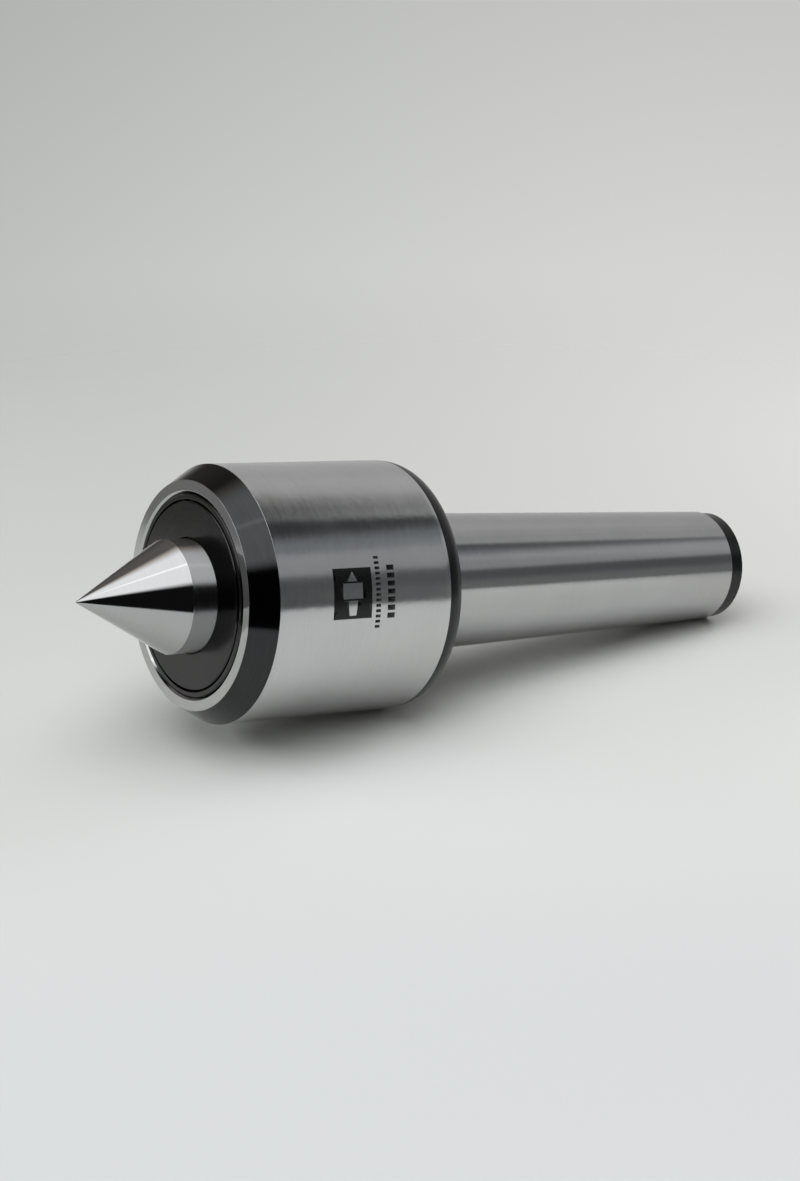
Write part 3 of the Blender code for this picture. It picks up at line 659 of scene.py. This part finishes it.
def paper_colour_and_painted_light(graph, where, aside, forward):
    """Its painted light and shade, with slight tints, run into each other over the floor, under a
    faint grain.
    """
    grain = graph.add("ShaderNodeTexNoise", {"Vector": where, "Scale": PAPER_GRAIN,
                                             "Detail": 2.0}).outputs["Fac"]
    # Painted light and shade on the paper: brightest beside the tool, darker near the camera and
    # behind it, and painted shade to the left
    beside = graph.spread(forward, *PAPER_NEAR_RAMP)
    shade = graph.math("MULTIPLY", graph.spread(aside, *PAPER_LEFT_RAMP, 1.0, 0.0), beside)
    paper = graph.mix(beside, PAPER_NEAR_PAINTED_LIGHT, PAPER_MIDDLE_PAINTED_LIGHT)
    paper = graph.mix(graph.spread(forward, *PAPER_FAR_RAMP), paper, PAPER_FAR_PAINTED_SHADE)
    paper = graph.mix(shade, paper, PAPER_LEFT_PAINTED_SHADE)
    speck = graph.mix(grain, grey(0.985), grey(1.0))
    return graph.add("ShaderNodeVectorMath", {0: paper, 1: speck},
                     operation="MULTIPLY").outputs[0]


def paper_hidden(graph, where, aside, forward):
    """1 where the floor isn't seen: off the table in reflections, far away, and from below."""
    distance = graph.add("ShaderNodeVectorMath", {0: where}, operation="LENGTH").outputs["Value"]
    path = graph.add("ShaderNodeLightPath").outputs
    edges = (graph.spread(aside, TABLE_LEFT - TABLE_SOFTNESS, TABLE_LEFT + TABLE_SOFTNESS,
                          1.0, 0.0),
             graph.spread(forward, TABLE_NEAR - TABLE_SOFTNESS, TABLE_NEAR + TABLE_SOFTNESS,
                          1.0, 0.0),
             graph.spread(graph.math("ADD", aside, forward), TABLE_SLANT - SLANT_SOFTNESS[0],
                          TABLE_SLANT + SLANT_SOFTNESS[1]))
    beyond = graph.math("MAXIMUM", graph.math("MAXIMUM", edges[0], edges[1]), edges[2])
    hidden = graph.math("MAXIMUM", graph.math("MULTIPLY", beyond, path["Is Glossy Ray"]),
                        graph.math("MULTIPLY", graph.spread(distance, *FLOOR_FADE),
                                   path["Is Camera Ray"]))
    below = graph.add("ShaderNodeNewGeometry").outputs["Backfacing"]
    return graph.math("MAXIMUM", hidden, below)


def floor_paper(ahead, right):
    """The floor's material, with ahead and right in the floor's own axes."""
    material, graph, shader = new_material("floor_paper")
    where = graph.add("ShaderNodeTexCoord").outputs["Object"]
    aside, forward = graph.dot(where, right), graph.dot(where, ahead)
    hidden = paper_hidden(graph, where, aside, forward)
    clear = graph.add("ShaderNodeBsdfTransparent")
    mixed = graph.add("ShaderNodeMixShader", {0: hidden, 1: shader.outputs[0],
                                              2: clear.outputs[0]})
    graph.join(paper_colour_and_painted_light(graph, where, aside, forward), shader.inputs["Base Color"])
    graph.join(PAPER_ROUGHNESS, shader.inputs["Roughness"])
    graph.join(PAPER_GLOSS, shader.inputs["Specular IOR Level"])
    output = material.node_tree.nodes["Material Output"]
    graph.join(mixed.outputs[0], output.inputs["Surface"])
    return material


def make_floor(normal, ahead, right, place):
    mesh = bpy.data.meshes.new("floor")
    bm = bmesh.new()
    bmesh.ops.create_circle(bm, cap_ends=True, segments=FLOOR_FACETS, radius=FLOOR_RADIUS)
    bm.to_mesh(mesh)
    bm.free()
    floor = bpy.data.objects.new("floor", mesh)
    bpy.context.scene.collection.objects.link(floor)
    tilt = normal.to_track_quat("Z", "Y")
    floor.matrix_world = Matrix.Translation(place) @ tilt.to_matrix().to_4x4()
    mesh.materials.append(floor_paper(tilt.inverted() @ ahead, tilt.inverted() @ right))


def hang_lamp(name, sides, depth, height, brightness, axes, place):
    """A level, rectangular lamp over the table that shines straight down."""
    right, ahead, normal = axes
    light = bpy.data.lights.new(name, "AREA")
    light.shape = "RECTANGLE"
    light.size = sides[1] - sides[0]
    light.size_y = depth[1] - depth[0]
    light.energy = brightness * math.pi * light.size * light.size_y
    lamp = bpy.data.objects.new(name, light)
    bpy.context.scene.collection.objects.link(lamp)
    centre = place + sum(sides) / 2 * right + sum(depth) / 2 * ahead + height * normal
    lamp.matrix_world = Matrix.Translation(centre) @ Matrix(axes).transposed().to_4x4()
    lamp.visible_camera = False
    return lamp


def make_softbox(axes, place):
    """The softbox over the tool: it fades towards its ends and has one brighter seam."""
    softbox = hang_lamp("softbox", SOFTBOX_SIDES, SOFTBOX_DEPTH, SOFTBOX_HEIGHT,
                        SOFTBOX_BRIGHTNESS, axes, place)
    light = softbox.data
    light.use_nodes = True
    graph = Graph(light.node_tree)
    across = graph.add("ShaderNodeNewGeometry").outputs["Parametric"]
    share = graph.add("ShaderNodeSeparateXYZ", {0: across}).outputs[1]
    depth = graph.spread_evenly(share, 0.0, 1.0, *SOFTBOX_DEPTH)
    near = graph.spread(depth, *SOFTBOX_NEAR_FADE)
    far = graph.spread(depth, *SOFTBOX_FAR_FADE, 1.0, 0.0)
    seam = graph.within(depth, SOFTBOX_SEAM - SEAM_WIDTH / 2, SOFTBOX_SEAM + SEAM_WIDTH / 2,
                        SEAM_WIDTH / 2)
    strength = graph.math("MULTIPLY", graph.math("MULTIPLY", near, far),
                          graph.math("MULTIPLY_ADD", seam, SEAM_EXTRA, 1.0))
    warm = graph.mix(graph.spread(depth, *SOFTBOX_WARM_RAMP),
                     *[grey(1.0, warmth) for warmth in SOFTBOX_WARMTH])
    emission = light.node_tree.nodes["Emission"]
    graph.join(warm, emission.inputs["Color"])
    graph.join(strength, emission.inputs["Strength"])


def make_fills(axes, place):
    for name, sides, depth, height, brightness in FILLS:
        lamp = hang_lamp(name, sides, depth, height, brightness, axes, place)
        lamp.visible_glossy = False


def make_studio(normal, ahead, right):
    """What the polished metal mirrors above the floor, and a plain pale backdrop."""
    world = bpy.data.worlds.new("studio")
    bpy.context.scene.world = world
    world.use_nodes = True
    graph = Graph(world.node_tree)
    direction = graph.add("ShaderNodeTexCoord").outputs["Generated"]
    elevation = graph.math("DEGREES", graph.math("ARCSINE", graph.dot(direction, normal)))
    azimuth = graph.math("DEGREES", graph.math("ARCTAN2", graph.dot(direction, right),
                                               graph.dot(direction, ahead)))

    total = grey(CEILING)[:3]
    for (a0, a1, a_soft), (e0, e1, e_soft), brightness, warmth in PANELS:
        share = graph.math("MULTIPLY", graph.within(azimuth, a0, a1, a_soft),
                           graph.within(elevation, e0, e1, e_soft))
        glow = graph.add("ShaderNodeVectorMath", {0: grey(brightness, warmth)[:3],
                                                  "Scale": share}, operation="SCALE").outputs[0]
        total = graph.add("ShaderNodeVectorMath", {0: total, 1: glow},
                          operation="ADD").outputs[0]
    path = graph.add("ShaderNodeLightPath").outputs
    seen = graph.mix(path["Is Glossy Ray"], grey(AMBIENT, 0.05), total)
    level = graph.spread_evenly(elevation, *BACKDROP_ELEVATION, *BACKDROP_LEVEL)
    tint = graph.mix(graph.spread(azimuth, *BACKDROP_AZIMUTH), BACKDROP_LEFT, BACKDROP_RIGHT)
    backdrop = graph.add("ShaderNodeVectorMath", {0: tint, "Scale": level},
                         operation="SCALE").outputs[0]
    seen = graph.mix(path["Is Camera Ray"], seen, backdrop)
    background = world.node_tree.nodes["Background"]
    graph.join(seen, background.inputs["Color"])
    graph.join(1.0, background.inputs["Strength"])


def make_pieces():
    steel = turned_metal("ground_steel_finish", grey(0.575), 0.14, 0.6, wave=0.10 * MM)
    shank = turned_metal("ground_shank_finish", grey(0.49), 0.11, 0.5, wave=0.05 * MM)
    face = turned_metal("ground_face_finish", grey(0.50), 0.06, 0.3, wave=0.03 * MM)
    point = turned_metal("point_steel_finish", grey(0.48), 0.06, 0.4, marks=0.02, bump=0.01)
    nose = turned_metal("nose_finish", grey(0.235), 0.20, 0.5, marks=0.03, bump=0.01, lean=0.47)
    oxide = turned_metal("black_oxide_finish", grey(0.051, -0.02), 0.09, 0.4, marks=0.08,
                         stain=0.15, wave=0.03 * MM)
    satin = turned_metal("rear_oxide_finish", grey(0.050), 0.26, 0.4, marks=0.08, stain=0.15)
    nut_black = turned_metal("nut_oxide_finish", grey(0.060), 0.20, 0.5, marks=0.1, stain=0.2)
    disc_black = turned_metal("disc_oxide_finish", grey(0.055), 0.16, 0.6, marks=0.1, stain=0.15)
    ring = turned_metal("bearing_ring_finish", grey(0.60), 0.10, 0.5)
    washer = turned_metal("washer_finish", grey(0.48), 0.28, 0.3, marks=0.08)
    cup = plain_metal("drawn_cup_finish", grey(0.50), 0.30)
    ball = plain_metal("ball_finish", grey(0.64), 0.05, 0.03)
    spring = plain_metal("garter_spring_finish", grey(0.45), 0.30)
    lock = turned_metal("lock_nut_finish", grey(0.09), 0.32, 0.3, marks=0.1, stain=0.2)
    brass = turned_metal("cage_brass_finish", (0.70, 0.47, 0.18, 1.0), 0.26, 0.3, marks=0.06)
    plastic = moulded("cage_plastic_finish", (0.45, 0.38, 0.24, 1.0), 0.45)
    rubber = moulded("rubber_finish", grey(0.018), 0.62)
    brown = moulded("seal_rubber_finish", (0.13, 0.05, 0.03, 1.0), 0.55)
    etched = plain_metal("etched_finish", grey(0.045), 0.24, 0.3)

    points = outline("housing")[0]
    turn_again("housing", LARGE_FACETS, CRISP_EDGE, steel, oxide, face, satin, shank,
               finish_at=housing_finish(points))
    cone_base = max(x for x, r in outline("spindle")[0] if r > NOSE_RADIUS)
    turn_again("spindle", LARGE_FACETS, CRISP_EDGE, point, nose,
               finish_at=lambda x, r: 0 if x > cone_base - 0.5 * CRISP_EDGE else 1)
    turn_again("front_nut", RING_FACETS, CRISP_EDGE, nut_black)
    turn_again("sealing_disc", RING_FACETS, CRISP_EDGE, disc_black)
    turn_again("shaft_seal", SMALL_FACETS, FINE_EDGE, brown)
    for node in ("front_bearing_outer_ring", "front_bearing_inner_ring",
                 "thrust_housing_washer", "thrust_shaft_washer"):
        turn_again(node, RING_FACETS, CRISP_EDGE, ring)
    turn_again("rear_bearing_cup", SMALL_FACETS, FINE_EDGE, cup)
    turn_again("thrust_shim", SMALL_FACETS, FINE_EDGE, washer)
    wire_ring("disc_o_ring", rubber)
    wire_ring("nut_o_ring", rubber)
    wire_ring("seal_garter_spring", spring)
    for pattern in ("front_ball_", "thrust_ball_", "needle_"):
        rolling_pieces(pattern, ball)
    keep("front_bearing_cage", plastic)
    keep("thrust_cage", brass)
    keep("needle_cage", washer, 0.08 * MM)
    keep("spindle_lock_nut", lock)
    keep("tab_washer", washer, 0.1 * MM)
    make_marking(max(r for x, r in points), etched)


normal, contact = resting_floor()
ahead, right = studio_axes(normal)
make_pieces()
make_camera(normal)
make_floor(normal, ahead, right, contact)
make_softbox((right, ahead, normal), contact)
make_fills((right, ahead, normal), contact)
make_studio(normal, ahead, right)
bpy.context.scene.view_settings.view_transform = "Standard"
